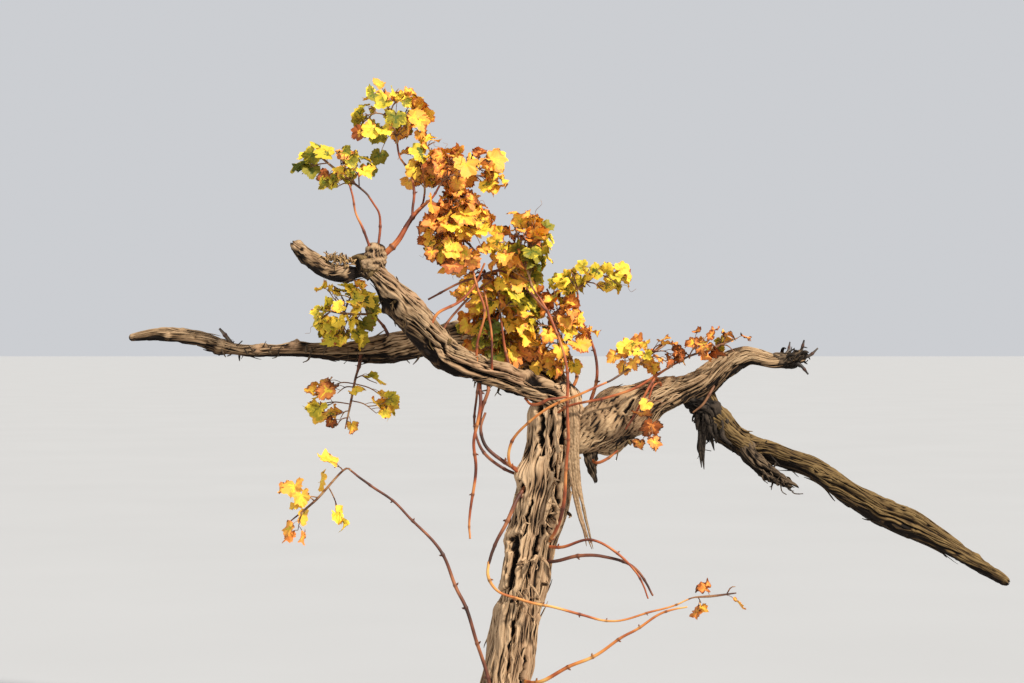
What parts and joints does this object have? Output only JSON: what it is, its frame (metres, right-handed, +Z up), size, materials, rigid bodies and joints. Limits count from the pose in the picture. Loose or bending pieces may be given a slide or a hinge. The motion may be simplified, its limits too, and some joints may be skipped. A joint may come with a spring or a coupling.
{
  "type": "grapevine",
  "caption": "Old head-trained grapevine in autumn: leaning twisted trunk, gnarled spreading arms, loose canes and clusters of yellow and orange leaves.",
  "frame": {"origin": "centre of the flat cut under the trunk, at ground level", "axes": "+Z up, +X along the row towards the long right arms, +Y away from the side that the picture was taken from"},
  "size_m": [2.2254, 0.4168, 1.6865],
  "materials": {
    "bark": "rough, deeply fissured, peeling in long strips",
    "dead_bark": "rough, weathered and splintered",
    "cane": "smooth to finely striped, with darker nodes",
    "gold_leaves": "matt, papery, veined",
    "orange_leaves": "matt, papery, veined",
    "green_leaves": "matt, papery, veined"
  },
  "bodies": {
    "root": {"trunk": "bark", "right_arm": "bark", "left_arm": "bark", "lower_right_arm": "bark", "lower_right_stub": "dead_bark", "back_left_arm": "bark", "left_spur": "bark", "under_spur": "dead_bark", "upper_cane": "cane", "left_cane_low": "cane", "left_cane_high": "cane", "top_cane": "cane", "neck_cane": "cane", "shoulder_cane": "cane", "mid_cane": "cane", "front_cane": "cane", "crossing_cane": "cane", "long_crossing_cane": "cane", "knot_whip": "cane", "foot_whip": "cane", "low_left_whip": "cane", "right_whip": "cane", "bridge_cane": "cane", "back_spur": "cane", "hanging_spur": "cane", "behind_cane": "cane", "tail_cane": "cane", "head_cane": "cane", "crown_tip_leaves": "gold_leaves", "left_spray_leaves": "green_leaves", "neck_leaves": "gold_leaves", "shoulder_leaves": "orange_leaves", "heart_leaves": "orange_leaves", "slope_leaves": "orange_leaves", "bridge_leaves": "orange_leaves", "mid_left_leaves": "green_leaves", "mid_right_leaves": "gold_leaves", "tail_leaves": "gold_leaves", "right_near_leaves": "orange_leaves", "right_far_leaves": "orange_leaves", "back_leaves": "green_leaves", "hanging_leaves": "gold_leaves", "low_left_leaves": "gold_leaves", "head_leaves": "orange_leaves", "whip_leaves": "orange_leaves"}
  },
  "joints": []
}
